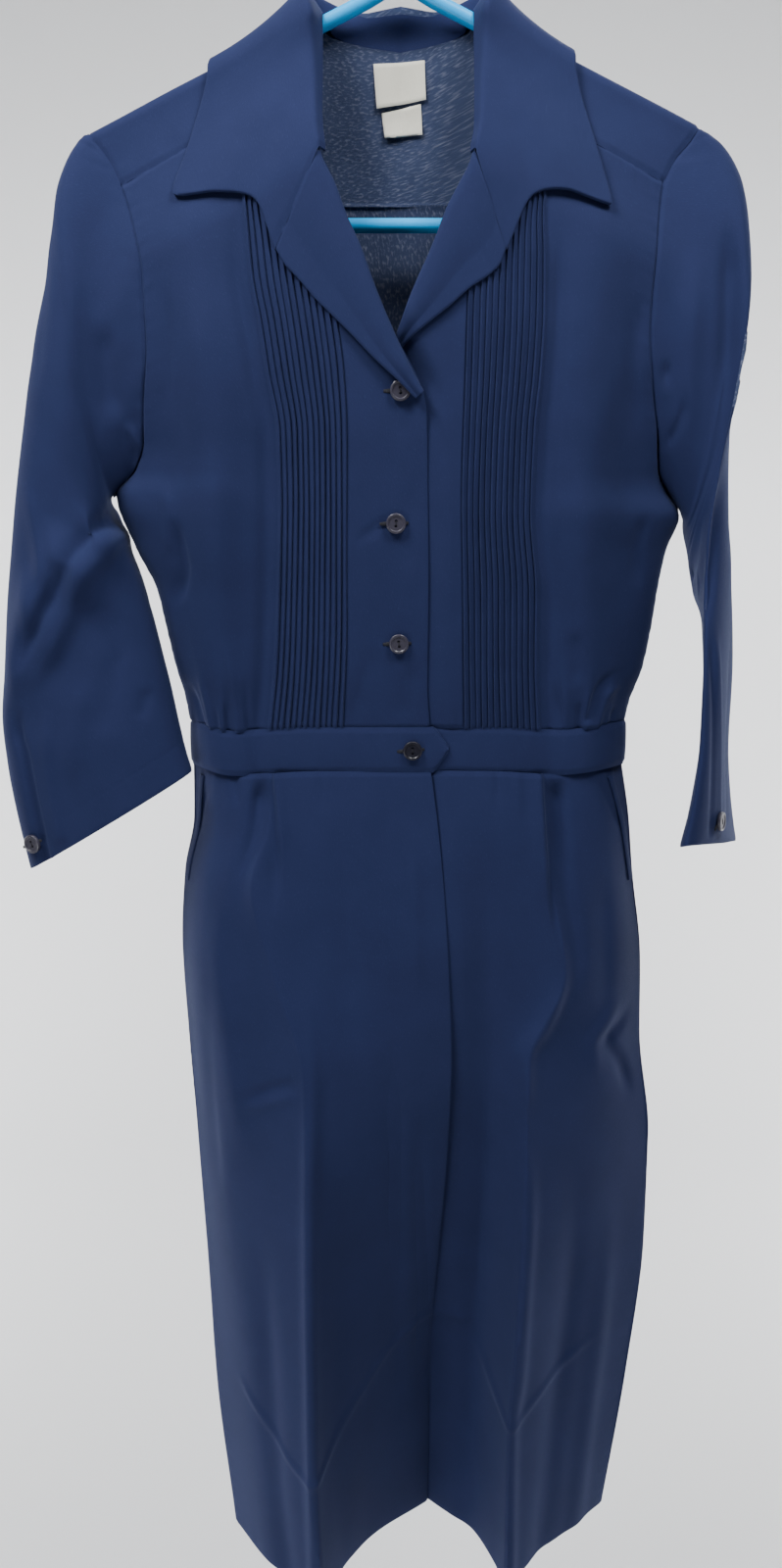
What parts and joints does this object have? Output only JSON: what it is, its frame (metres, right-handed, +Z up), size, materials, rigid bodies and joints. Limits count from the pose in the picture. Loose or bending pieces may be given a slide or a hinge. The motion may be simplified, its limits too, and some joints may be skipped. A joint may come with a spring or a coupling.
{
  "type": "waitress dress on a hanger",
  "caption": "Navy waitress dress with notched collar, pintucked button front, pointed waistband and shaped sleeves, hanging on a blue tubular hanger.",
  "frame": {"origin": "inside top of the hanger's hook, where the rail it hangs on touches it", "axes": "+Z up, -Y out of the dress's front, -X towards the wearer's right side"},
  "size_m": [0.5185, 0.1403, 1.1993],
  "materials": {
    "navy_cloth": "matt plain-woven navy cloth",
    "button_navy": "satin navy plastic",
    "label_white": "bare off-white woven label",
    "hanger_blue": "gloss moulded blue plastic"
  },
  "bodies": {
    "root": {"yoke": "navy_cloth", "bodice_back": "navy_cloth", "bodice_front_right": "navy_cloth", "bodice_front_left": "navy_cloth", "sleeve_right": "navy_cloth", "sleeve_left": "navy_cloth", "collar": "navy_cloth", "lapel_right": "navy_cloth", "lapel_left": "navy_cloth", "waistband": "navy_cloth", "skirt_front_right": "navy_cloth", "skirt_front_left": "navy_cloth", "skirt_back": "navy_cloth", "pocket_edge_right": "navy_cloth", "pocket_edge_left": "navy_cloth", "button_top": "button_navy", "button_middle": "button_navy", "button_lower": "button_navy", "button_waist": "button_navy", "button_cuff_right": "button_navy", "button_cuff_left": "button_navy", "neck_label": "label_white", "size_label": "label_white", "hanger": "hanger_blue"}
  },
  "joints": []
}
